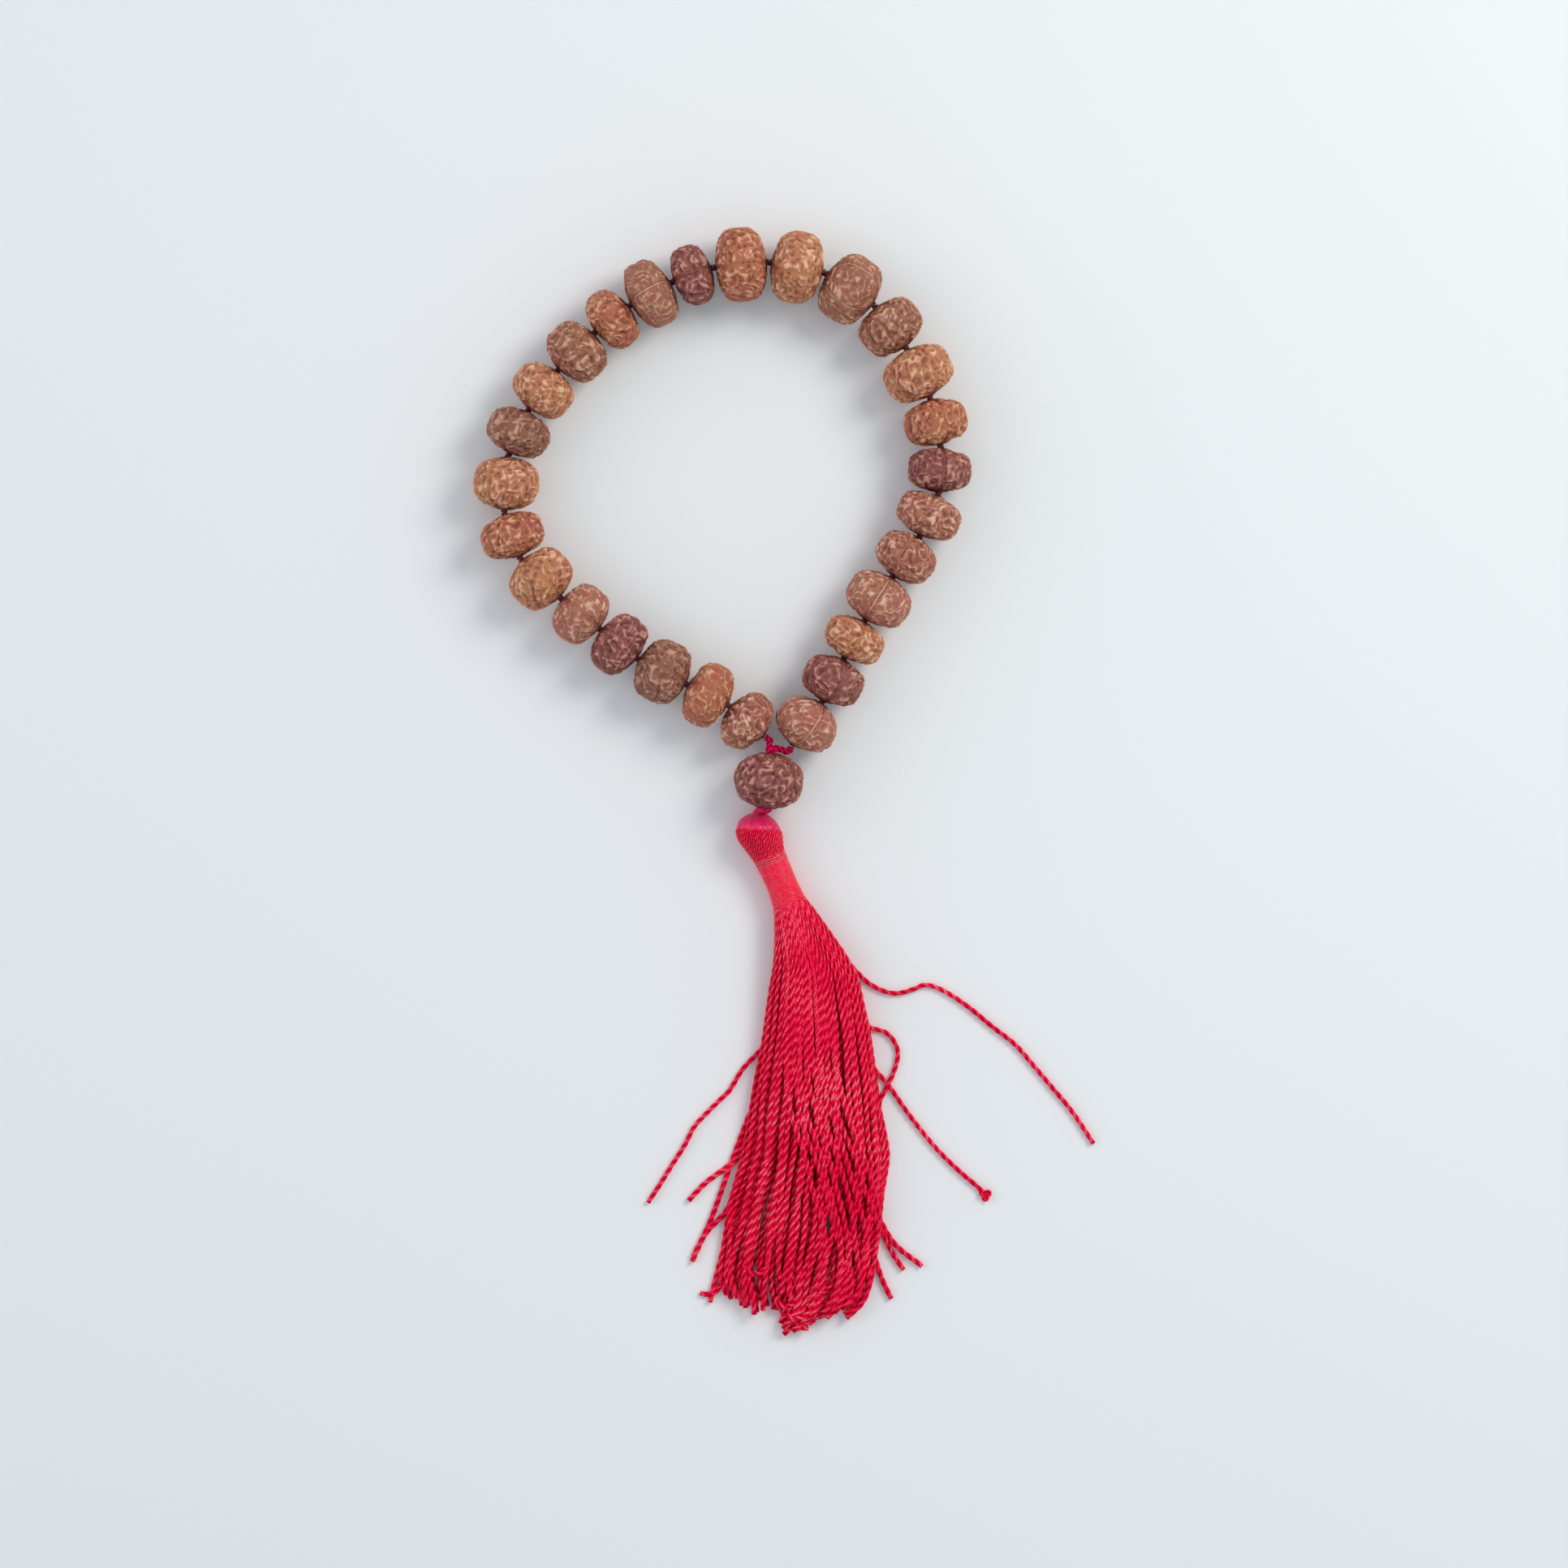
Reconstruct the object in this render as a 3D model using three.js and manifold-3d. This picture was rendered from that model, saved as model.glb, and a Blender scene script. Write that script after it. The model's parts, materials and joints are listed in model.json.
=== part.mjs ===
// A wrist mala: 27 drilled rudraksha seeds and a larger guru seed on a silk cord, with a silk tassel.
// It lies flat on z = 0, in millimetres, +Z up, with the tassel towards -Y.
import * as THREE from "three";
import { mergeVertices } from "three/addons/utils/BufferGeometryUtils.js";
import Module from "manifold-3d";

const wasm = await Module();
wasm.setup();

// ---- driving dimensions, mm ----
const SEED_SCALE = 1; // every loop seed's diameter and thickness, against the sizes in SEEDS
const SEED_CLEARANCE = 0.3; // least gap between two neighbouring seeds
const OPEN_PIVOT_GAP = 0.8; // wider gap at the top of the loop, between the two chains of links
const OPEN_PIVOT = 14; // that gap comes after this many seeds
const FLEX_ALLOWANCE = THREE.MathUtils.degToRad(6); // how much further two neighbours may bend
const CORD_RADIUS = 0.55; // stringing cord
const BORE_CLEARANCE = 0.35; // between a seed's bore and the cord in it
const GURU_BORE_CLEARANCE = 0.45;
const TWO_CORDS = 1.55; // the two cord ends side by side in the guru, against one cord
const MEETING_HEIGHT = 1.5; // they meet this many of their joint radii above its upper hole
const LINK_CLEARANCE = 0.15; // at each end of a cord link
const CLEFTS = 5; // a five-faced seed
const CLEFT_DEPTH = 0.05; // share of the seed's radius

const GURU_DIAMETER = 10.6;
const GURU_THICKNESS = 8.3;
const GURU_LEAN = 0.1; // radians that its hole turns from -Y towards -X
const GURU_DROP = 0.9; // how far its upper hole lies below the lower of the two cord ends, at least
const GURU_TOP_OFFSET = 1.0; // and to the right of the left one

const PIECE_GAP = 0.4; // between one piece of the tassel and the next
const TASSEL_GAP = 0.5; // from the guru's lower hole to the tassel's head, along Y
const HEAD_OFFSET = 1.7; // the head lies this far to the left of that hole
const STRAND_RADIUS = 0.44; // one two-ply strand of the tassel
const FRINGE_LENGTH = 61.6;
const FRINGE_WIDTH = 23.4; // at its widest, near the tips

// Moves the loop and tassel so that the middle of their outline is the origin.
const SHIFT = { x: 8.9, y: 0.3 };

// Each seed in stringing order, clockwise from the left of the guru: [diameter, thickness, shade].
const SEEDS = [
  [9.6, 6.4, "pinkish"], [10.1, 6.4, "reddish"], [9.8, 7.6, "olive"], [9.8, 6.6, "mauve"],
  [9.5, 6.8, "pinkish"], [9.9, 7.6, "golden"], [9.8, 6.3, "reddish"], [10.0, 7.6, "golden"],
  [9.9, 6.5, "olive"], [9.6, 6.7, "golden"], [9.8, 7.2, "brown"], [9.6, 6.0, "reddish"],
  [10.6, 6.5, "brown"], [9.4, 5.7, "mauve"], [11.4, 7.4, "reddish"], [11.0, 7.5, "golden"],
  [10.8, 7.9, "brown"], [9.9, 7.1, "brown"], [10.8, 7.4, "golden"], [9.8, 6.6, "reddish"],
  [9.8, 6.3, "mauve"], [10.0, 6.2, "pinkish"], [9.6, 6.6, "pinkish"], [10.2, 7.1, "pinkish"],
  [9.6, 5.9, "golden"], [9.5, 6.7, "mauve"], [9.9, 7.4, "pinkish"],
];
const SHADES = {
  pinkish: 0x9a6556, reddish: 0xa0583c, golden: 0xb27a50,
  brown: 0x8c5d48, olive: 0x7d573b, mauve: 0x6b4040,
};

// The cord's route round the loop, from the guru's left side clockwise back to its right side.
const LOOP_ROUTE = [
  [-2.8, 6.9], [-5.4, 9.6], [-11.3, 13.2], [-18.2, 16.3], [-24.3, 20.4], [-29.8, 25.2], [-36.0, 29.6],
  [-39.7, 35.9], [-40.7, 43.5], [-38.9, 50.7], [-35.0, 57.2], [-30.1, 62.8], [-24.9, 67.5],
  [-19.2, 71.2], [-12.9, 74.0], [-5.7, 75.5], [2.4, 75.0], [10.2, 72.0], [15.6, 66.1],
  [19.7, 59.6], [22.2, 52.4], [22.8, 45.4], [21.4, 38.8], [17.7, 33.0], [13.6, 26.8],
  [10.1, 20.8], [6.8, 14.6], [3.7, 8.2], [1.2, 5.6],
];

// The tassel's stations: [x and y from the piece's own start, width, height].
const HEAD = [
  [0, 0, 2.6, 2.4], [0.1, -0.7, 4.8, 4.4], [0.2, -1.8, 6.2, 6.0],
  [0.8, -3.5, 6.7, 6.6], [1.4, -4.7, 6.3, 6.2], [1.9, -5.7, 5.2, 5.4],
];
const BINDING = [
  [0, 0, 5.0, 5.2], [1.0, -2.2, 4.8, 4.9], [2.0, -4.5, 4.7, 4.8], [2.9, -6.8, 5.1, 4.9],
  [3.5, -8.3, 6.0, 5.0],
];
// The fringe's stations: [x from its start, share of its length, share of its width, height].
const FRINGE = [
  [0, 0, 0.1, 3.6], [0.35, 0.016, 0.265, 5.0], [0.9, 0.037, 0.325, 5.2], [1.6, 0.072, 0.4, 5.4],
  [2.8, 0.137, 0.556, 5.5], [3.4, 0.282, 0.7, 5.2], [3.2, 0.428, 0.816, 4.8], [3.1, 0.574, 0.923, 4.4],
  [1.5, 0.72, 0.99, 4.0], [0.2, 0.866, 0.99, 3.4], [0.8, 0.954, 0.81, 2.8], [1.4, 1, 0.385, 2.0],
];
// One strand that has come out of the skirt and lies off to the right.
const STRAY_ROUTE = [
  [11.2, -28.0], [12.6, -29.2], [14.6, -30.2], [16.6, -30.5], [18.9, -29.9], [20.6, -29.3],
  [23.0, -30.0], [26.6, -32.3], [30.4, -35.4], [33.7, -38.0], [36.5, -41.2], [39.3, -44.5],
  [42.1, -47.9], [45.1, -52.4],
];
const STRAY_LIFT = 0.1; // keeps the strand's underside off the surface it lies on

// ---- materials ----
const finish = (color, roughness) => new THREE.MeshStandardMaterial({ color, roughness, metalness: 0 });
const cordFinish = finish(0xe0114f, 0.6);
const silkFinish = finish(0xd9063a, 0.5);

// ---- shape helpers ----
function named(name, geometry, material) {
  const mesh = new THREE.Mesh(geometry, material);
  mesh.name = name;
  return mesh;
}

// A drilled seed about the Y axis: an ellipsoid with a straight bore and shallow lengthwise clefts.
function seedGeometry(diameter, thickness, bore) {
  const radius = diameter / 2;
  const half = thickness / 2;
  const sidesPerFace = 4;
  const rings = 7;
  const mouth = Math.acos(bore / radius);
  const profile = [];
  for (let i = 0; i <= rings; i++) {
    const a = THREE.MathUtils.lerp(-mouth, mouth, i / rings);
    profile.push(new THREE.Vector2(radius * Math.cos(a), half * Math.sin(a)));
  }
  profile.push(profile[0].clone());
  const geometry = new THREE.LatheGeometry(profile, CLEFTS * sidesPerFace);
  const at = geometry.attributes.position;
  for (let i = 0; i < at.count; i++) {
    const r = Math.hypot(at.getX(i), at.getZ(i));
    const side = Math.round((Math.atan2(at.getX(i), at.getZ(i)) / (2 * Math.PI)) * CLEFTS * sidesPerFace);
    const inCleft = ((side % sidesPerFace) + sidesPerFace) % sidesPerFace === 0;
    const depth = inCleft ? CLEFT_DEPTH * Math.max(0, (r - bore) / (radius - bore)) : 0;
    at.setX(i, at.getX(i) * (1 - depth));
    at.setZ(i, at.getZ(i) * (1 - depth));
  }
  return geometry;
}

// Rings of points joined into one closed solid, with flat ends. Rings run anticlockwise seen from the end.
function loft(rings) {
  const sides = rings[0].length;
  const index = [];
  rings.slice(1).forEach((_, k) => {
    for (let i = 0; i < sides; i++) {
      const a = k * sides + i;
      const b = k * sides + ((i + 1) % sides);
      index.push(a, b, a + sides, b, b + sides, a + sides);
    }
  });
  const last = (rings.length - 1) * sides;
  for (let i = 1; i < sides - 1; i++) index.push(0, i + 1, i, last, last + i, last + i + 1);
  const points = rings.flat().map((p) => new THREE.Vector3(...p));
  return new THREE.BufferGeometry().setFromPoints(points).setIndex(index);
}

// A body that lies on z = 0 along stations [x, y, width, height]: round sections, or flat underneath.
function lyingBody(stations, sides, flatness) {
  const rings = stations.map(([x, y, width, height], k) => {
    const [ax, ay] = stations[Math.max(k - 1, 0)];
    const [bx, by] = stations[Math.min(k + 1, stations.length - 1)];
    const run = new THREE.Vector2(bx - ax, by - ay).normalize();
    return Array.from({ length: sides }, (_, i) => {
      const a = (2 * Math.PI * (i + 0.5)) / sides;
      const across = (width / 2) * Math.cos(a);
      const up = (height * (Math.max(Math.sin(a), -flatness) + flatness)) / (1 + flatness);
      return [x - run.y * across, y + run.x * across, up];
    });
  });
  return loft(rings);
}

// A round cord along points, as a closed tube.
function tube(points, radius, steps, sides = 8) {
  const section = new THREE.Shape(
    Array.from({ length: sides }, (_, i) => {
      const a = (2 * Math.PI * i) / sides;
      return new THREE.Vector2(radius * Math.cos(a), radius * Math.sin(a));
    }),
  );
  const extrudePath = new THREE.CatmullRomCurve3(points, false, "centripetal");
  return new THREE.ExtrudeGeometry(section, { steps, extrudePath, bevelEnabled: false });
}

function solidOf(geometry) {
  const bare = geometry.clone();
  bare.deleteAttribute("normal");
  bare.deleteAttribute("uv");
  const merged = mergeVertices(bare, 1e-4);
  const vertProperties = new Float32Array(merged.attributes.position.array);
  const triVerts = new Uint32Array(merged.index.array);
  return new wasm.Manifold(new wasm.Mesh({ numProp: 3, vertProperties, triVerts }));
}

// A thread end with a round tip: the hulls of balls along its line.
function threadSolid(points, radius) {
  const steps = 6;
  const line = new THREE.CatmullRomCurve3(points, false, "centripetal").getSpacedPoints(steps);
  const balls = line.map((p) => wasm.Manifold.sphere(radius, 12).translate(p.toArray()));
  return balls.slice(1).map((ball, i) => wasm.Manifold.hull([balls[i], ball])).reduce((a, b) => a.add(b));
}

function joined(solids) {
  const mesh = solids.reduce((a, b) => a.add(b)).getMesh();
  const geometry = new THREE.BufferGeometry();
  geometry.setAttribute("position", new THREE.BufferAttribute(mesh.vertProperties, 3));
  geometry.setIndex(new THREE.BufferAttribute(mesh.triVerts, 1));
  return geometry;
}

// ---- the loop: where each seed and its cord link lie ----
const seeds = SEEDS.map(([diameter, thickness, shade]) => ({
  diameter: diameter * SEED_SCALE,
  thickness: thickness * SEED_SCALE,
  shade,
}));
const route = new THREE.CatmullRomCurve3(
  LOOP_ROUTE.map(([x, y]) => new THREE.Vector3(x * SEED_SCALE, y * SEED_SCALE, 0)),
  false,
  "centripetal",
).getSpacedPoints(4000);

// Walks the route in straight steps, one for each seed with half of the gap at either end.
function gapPoints(gaps) {
  let k = 0;
  const points = [route[0].clone()];
  seeds.forEach((seed, i) => {
    const from = points[i];
    const step = seed.thickness + (gaps[i] + gaps[i + 1]) / 2;
    while (k < route.length - 1 && route[k].distanceTo(from) < step) k++;
    const towards = route[k].clone().sub(from).normalize();
    points.push(from.clone().addScaledVector(towards, step));
  });
  return points;
}

// Two neighbours that bend at their gap need room for their inner edges.
function roomFor(bend, a, b) {
  const half = Math.min(a.thickness, b.thickness) / 2;
  const reach = (Math.max(a.diameter, b.diameter) / 2) * Math.tan((bend + FLEX_ALLOWANCE) / 2);
  return SEED_CLEARANCE + 2 * (Math.hypot(half, reach) - half);
}

let gaps = seeds.map(() => SEED_CLEARANCE).concat(SEED_CLEARANCE);
let points = gapPoints(gaps);
const settlingPasses = 4;
for (let pass = 0; pass < settlingPasses; pass++) {
  const steps = points.slice(1).map((p, i) => p.clone().sub(points[i]));
  gaps = gaps.map((_, i) => {
    if (i === 0 || i === seeds.length) return SEED_CLEARANCE;
    const room = roomFor(steps[i - 1].angleTo(steps[i]), seeds[i - 1], seeds[i]);
    return i === OPEN_PIVOT ? Math.max(room, OPEN_PIVOT_GAP) : room;
  });
  points = gapPoints(gaps);
}
// The wider neighbour rests on the surface, so the cord crosses each gap at its height.
points.forEach((p, i) => {
  const neighbours = [seeds[i - 1], seeds[i]].filter(Boolean);
  p.z = Math.max(...neighbours.map((seed) => seed.diameter / 2));
});

const mala = new THREE.Group();
const laid = new THREE.Group();
laid.position.set(SHIFT.x, SHIFT.y, 0);
mala.add(laid);

const alongAxis = new THREE.Vector3(0, 1, 0);
const seedTurn = 1.3; // radians between one seed's clefts and the next one's
seeds.forEach((seed, i) => {
  const label = String(i + 1).padStart(2, "0");
  const run = points[i + 1].clone().sub(points[i]);
  const station = new THREE.Group();
  station.position.copy(points[i]).addScaledVector(run, 0.5);
  station.quaternion.setFromUnitVectors(alongAxis, run.clone().normalize());
  const shape = seedGeometry(seed.diameter, seed.thickness, CORD_RADIUS + BORE_CLEARANCE);
  const bead = named(`bead_${label}`, shape, finish(SHADES[seed.shade], 0.75));
  bead.rotation.y = i * seedTurn;
  const length = run.length() - 2 * LINK_CLEARANCE;
  const link = new THREE.CylinderGeometry(CORD_RADIUS, CORD_RADIUS, length, 8);
  station.add(bead, named(`cord_${label}`, link, cordFinish));
  laid.add(station);
});

// ---- the guru seed and the two cord ends that run through it ----
const guruCordRadius = TWO_CORDS * CORD_RADIUS;
const guruBore = guruCordRadius + GURU_BORE_CLEARANCE;
const guruDown = new THREE.Vector3(-Math.sin(GURU_LEAN), -Math.cos(GURU_LEAN), 0);
const cordEnds = [points[0], points[seeds.length]];

// How far a seed reaches from its centre towards a point.
function reachTowards(seed, axis, centre, point) {
  const run = point.clone().sub(centre).normalize();
  const along = run.dot(axis);
  return 1 / Math.sqrt((2 * along / seed.thickness) ** 2 + 4 * (1 - along * along) / seed.diameter ** 2);
}

// The guru hangs below the two cord ends, and lower where it would touch the seeds beside it.
const guruSeed = { diameter: GURU_DIAMETER, thickness: GURU_THICKNESS };
const beside = [0, seeds.length - 1].map((i) => ({
  seed: seeds[i],
  centre: points[i].clone().lerp(points[i + 1], 0.5),
  axis: points[i + 1].clone().sub(points[i]).normalize(),
}));
const guruTop = new THREE.Vector3();
const guruCentre = new THREE.Vector3();
const settlingStep = 0.1;
let drop = GURU_DROP;
let touches = true;
while (touches) {
  const lowest = Math.min(...cordEnds.map((end) => end.y));
  guruTop.set(cordEnds[0].x + GURU_TOP_OFFSET, lowest - drop, GURU_DIAMETER / 2);
  guruCentre.copy(guruTop).addScaledVector(guruDown, GURU_THICKNESS / 2);
  touches = beside.some(({ seed, centre, axis }) => {
    const reach = reachTowards(seed, axis, centre, guruCentre);
    const guruReach = reachTowards(guruSeed, guruDown, guruCentre, centre);
    return centre.distanceTo(guruCentre) < reach + guruReach + SEED_CLEARANCE;
  });
  drop += settlingStep;
}
const guruShape = seedGeometry(GURU_DIAMETER, GURU_THICKNESS, guruBore);
const guru = named("guru_bead", guruShape, finish(SHADES.mauve, 0.75));
guru.position.copy(guruCentre);
guru.quaternion.setFromUnitVectors(alongAxis, guruDown);
laid.add(guru);

const guruEnd = guruCentre.clone().addScaledVector(guruDown, GURU_THICKNESS / 2);
const meeting = guruTop.clone().addScaledVector(guruDown, -MEETING_HEIGHT * guruCordRadius);
const legs = [
  [points[0], points[1]],
  [points[seeds.length], points[seeds.length - 1]],
].map(([gap, next]) => {
  const onwards = gap.clone().sub(next).normalize();
  const start = gap.clone().addScaledVector(onwards, 2 * LINK_CLEARANCE + CORD_RADIUS);
  const tucked = meeting.clone().addScaledVector(guruDown, 2 * CORD_RADIUS);
  return threadSolid([start, meeting, tucked], CORD_RADIUS);
});
const trunk = solidOf(tube([meeting, guruCentre, guruEnd], guruCordRadius, 3));
laid.add(named("guru_cord", joined([...legs, trunk]), cordFinish));

// ---- the tassel ----
// A piece's stations, moved so that it starts at a point; the next one starts a gap past its end.
function placed(stations, [startX, startY]) {
  return stations.map(([x, y, width, height]) => [startX + x, startY + y, width, height]);
}
function pastEnd(stations, gap) {
  const [[ax, ay], [bx, by]] = stations.slice(-2);
  const run = new THREE.Vector2(bx - ax, by - ay).setLength(gap);
  return [bx + run.x, by + run.y];
}
const fringeStations = FRINGE.map(([x, along, wide, height]) => {
  return [x, -along * FRINGE_LENGTH, wide * FRINGE_WIDTH, height];
});
const head = placed(HEAD, [guruEnd.x - HEAD_OFFSET, guruEnd.y - TASSEL_GAP]);
const binding = placed(BINDING, pastEnd(head, PIECE_GAP));
const fringe = placed(fringeStations, pastEnd(binding, PIECE_GAP));
laid.add(named("tassel_head", lyingBody(head, 16, 0.9), silkFinish));
laid.add(named("tassel_binding", lyingBody(binding, 16, 0.9), silkFinish));
laid.add(named("tassel_skirt", lyingBody(fringe, 20, 0.55), silkFinish));
const strayHeight = STRAND_RADIUS + STRAY_LIFT;
const straySteps = 30;
const strayPoints = STRAY_ROUTE.map(([x, y]) => new THREE.Vector3(x, y, strayHeight));
laid.add(named("stray_strand", tube(strayPoints, STRAND_RADIUS, straySteps), silkFinish));

export default mala;
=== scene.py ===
# A wrist mala of rudraksha seeds with a silk tassel, dressed round its fixed frame.
import json
import math
import random

import bmesh
import bpy
from mathutils import Matrix, Vector, noise


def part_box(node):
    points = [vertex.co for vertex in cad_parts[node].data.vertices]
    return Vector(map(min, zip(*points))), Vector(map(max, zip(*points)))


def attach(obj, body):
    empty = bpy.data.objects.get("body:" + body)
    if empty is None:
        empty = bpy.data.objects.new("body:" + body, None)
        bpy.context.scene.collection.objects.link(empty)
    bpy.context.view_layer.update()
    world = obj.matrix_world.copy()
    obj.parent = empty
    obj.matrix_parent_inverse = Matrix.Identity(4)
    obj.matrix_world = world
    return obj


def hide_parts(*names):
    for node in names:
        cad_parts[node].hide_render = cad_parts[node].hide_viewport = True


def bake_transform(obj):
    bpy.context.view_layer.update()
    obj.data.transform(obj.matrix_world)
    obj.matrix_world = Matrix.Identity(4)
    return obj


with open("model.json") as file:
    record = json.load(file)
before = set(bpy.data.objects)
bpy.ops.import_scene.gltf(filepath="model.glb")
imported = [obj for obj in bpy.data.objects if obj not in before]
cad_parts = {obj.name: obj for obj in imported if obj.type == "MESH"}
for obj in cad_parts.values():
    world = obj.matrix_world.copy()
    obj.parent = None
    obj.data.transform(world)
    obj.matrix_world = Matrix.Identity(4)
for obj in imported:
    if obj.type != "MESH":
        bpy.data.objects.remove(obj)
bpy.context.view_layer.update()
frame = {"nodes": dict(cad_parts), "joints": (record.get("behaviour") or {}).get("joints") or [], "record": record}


# ---- table, light and camera ----
# The mala lies on a pale table under a large soft window at the upper right.
# The camera looks straight down from well above, so that the loop keeps its true outline.
MM = 0.001
CAMERA_HEIGHT = 800 * MM
FIELD = 227.2 * MM  # width of the view at the height of the seeds' middles
SEED_MIDDLE = 5 * MM
VIEW_CENTRE = (8.9 * MM, 0.3 * MM)
SENSOR = 36.0
TABLE_REACH = 1.5  # from the middle of the table to each of its edges, out of view


def linear(hex_colour):
    """An sRGB hex colour as the linear RGBA that a shader takes."""
    channels = [int(hex_colour[i : i + 2], 16) / 255 for i in (1, 3, 5)]
    return [c / 12.92 if c <= 0.04045 else ((c + 0.055) / 1.055) ** 2.4 for c in channels] + [1.0]


def add_node(material, kind, inputs=(), **settings):
    """One shader node with its settings. An input is a value, or the socket that feeds it."""
    node = material.node_tree.nodes.new(kind)
    for key, value in settings.items():
        setattr(node, key, value)
    for key, value in dict(inputs).items():
        if isinstance(value, bpy.types.NodeSocket):
            material.node_tree.links.new(value, node.inputs[key])
        else:
            node.inputs[key].default_value = value
    return node


def new_material(name):
    """A node material with only its output node."""
    material = bpy.data.materials.new(name)
    material.use_nodes = True
    material.node_tree.nodes.clear()
    return material


def surface(material, shader):
    add_node(material, "ShaderNodeOutputMaterial", {"Surface": shader.outputs[0]})


def new_piece(name, mesh_source, material):
    """An object from a bmesh, smooth shaded, at the origin."""
    mesh = bpy.data.meshes.new(name)
    mesh_source.to_mesh(mesh)
    mesh_source.free()
    mesh.polygons.foreach_set("use_smooth", [True] * len(mesh.polygons))
    mesh.materials.append(material)
    piece = bpy.data.objects.new(name, mesh)
    bpy.context.scene.collection.objects.link(piece)
    return piece


table_finish = new_material("matt_white_laminate")
laminate = add_node(
    table_finish, "ShaderNodeBsdfPrincipled", {"Base Color": linear("#F1F2F3"), "Roughness": 0.7}
)
surface(table_finish, laminate)
table_shape = bmesh.new()
bmesh.ops.create_grid(table_shape, x_segments=1, y_segments=1, size=TABLE_REACH)
table = new_piece("table_top", table_shape, table_finish)


def add_window(name, place, size, watts, colour):
    """A square soft light, size metres across, that faces the middle of the view."""
    light = bpy.data.lights.new(name, "AREA")
    light.size = size
    light.energy = watts
    light.color = linear(colour)[:3]
    lamp = bpy.data.objects.new(name, light)
    lamp.location = place
    aim = Vector((*VIEW_CENTRE, 0)) - Vector(place)
    lamp.rotation_euler = aim.to_track_quat("-Z", "Y").to_euler()
    bpy.context.scene.collection.objects.link(lamp)


add_window("window_right", (0.42, 0.30, 0.50), 0.30, 2.2, "#FFF8F0")
add_window("window_left", (-0.60, 0.10, 0.34), 0.50, 0.9, "#FFE2E8")

world = bpy.data.worlds.new("bright_room")
world.use_nodes = True
world.node_tree.nodes["Background"].inputs["Color"].default_value = linear("#E4F3FA")
world.node_tree.nodes["Background"].inputs["Strength"].default_value = 0.66
bpy.context.scene.world = world
bpy.context.scene.view_settings.view_transform = "Standard"

camera_data = bpy.data.cameras.new("camera")
camera_data.sensor_width = SENSOR
camera_data.lens = SENSOR * (CAMERA_HEIGHT - SEED_MIDDLE) / FIELD
camera_data.clip_start = 0.01
camera = bpy.data.objects.new("camera", camera_data)
camera.location = (*VIEW_CENTRE, CAMERA_HEIGHT)
bpy.context.scene.collection.objects.link(camera)
bpy.context.scene.camera = camera


# ---- seeds ----
# Rudraksha stones, 27 and a larger guru, each drilled from end to end along its five clefts.
# The stone is dry and woody: raised worm-like ridges over deep crevices, with painted highlight on the ridges and
# painted shade in the crevices.
SEED_SECTION = 2.75  # exponent of the seed's outline: 2 is an ellipse, more is squarer
ROUND_SECTION = 2.3  # of the guru and of the two seeds that lie against it
SEED_STEPS = 160  # round the hole
SEED_RINGS = 64  # from mouth to mouth
BORE_RINGS = 5
SEED_SWELL = 0.07 * MM  # the stone stands this much further out into the gap than its CAD solid
CLEFTS = 5
RIDGE_SIZE = 1.05 * MM
RIDGE_DEPTH = 0.45 * MM
CLEFT_DEPTH = 0.3 * MM
CLEFT_WIDTH = 0.3 * MM
MOUTH_RIM = 1.3 * MM  # round each mouth the carving fades out over this width
BEND_SCALE = 0.55  # of the noise that bends nodules and ridges out of line, against RIDGE_SIZE
BEND = 0.9
WORM_BEND = 0.7  # the ridges bend less than the nodules
NODULE_SCALE = 0.82
NODULE_EDGE = 1.9  # how steep the side of a nodule is
WORM_EDGE = 3.0  # how narrow a worm-like ridge is
NODULE_SHARE = 0.38
WORM_SHARE = 0.56
FINE_SHARE = 0.12
FINE_SCALE = 2.6
LUMP_SIZE = 3.6 * MM
LUMP_DEPTH = 0.3 * MM

# Crevice, body and crest colours of each kind of stone: the crevice colour is painted shade and the crest colour
# painted highlight.
STONES = {
    "seed_pinkish": ("#562C25", "#A86C58", "#DDB09A"),
    "seed_reddish": ("#582B21", "#AD6A50", "#DEA888"),
    "seed_golden": ("#5E3424", "#B87A5A", "#E4B494"),
    "seed_brown": ("#4C2A22", "#9C6650", "#D0A288"),
    "seed_olive": ("#43281F", "#905F4C", "#C2957E"),
    "seed_mauve": ("#3E201D", "#8C5048", "#C49080"),
}


def colour_ramp(material, factor, stops):
    """A colour ramp's node, from pairs of a position and a hex colour."""
    ramp = add_node(material, "ShaderNodeValToRGB", {"Fac": factor})
    elements = ramp.color_ramp.elements
    while len(elements) < len(stops):
        elements.new(0.5)
    for element, (position, colour) in zip(elements, stops):
        element.position = position
        element.color = linear(colour)
    return ramp


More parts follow.
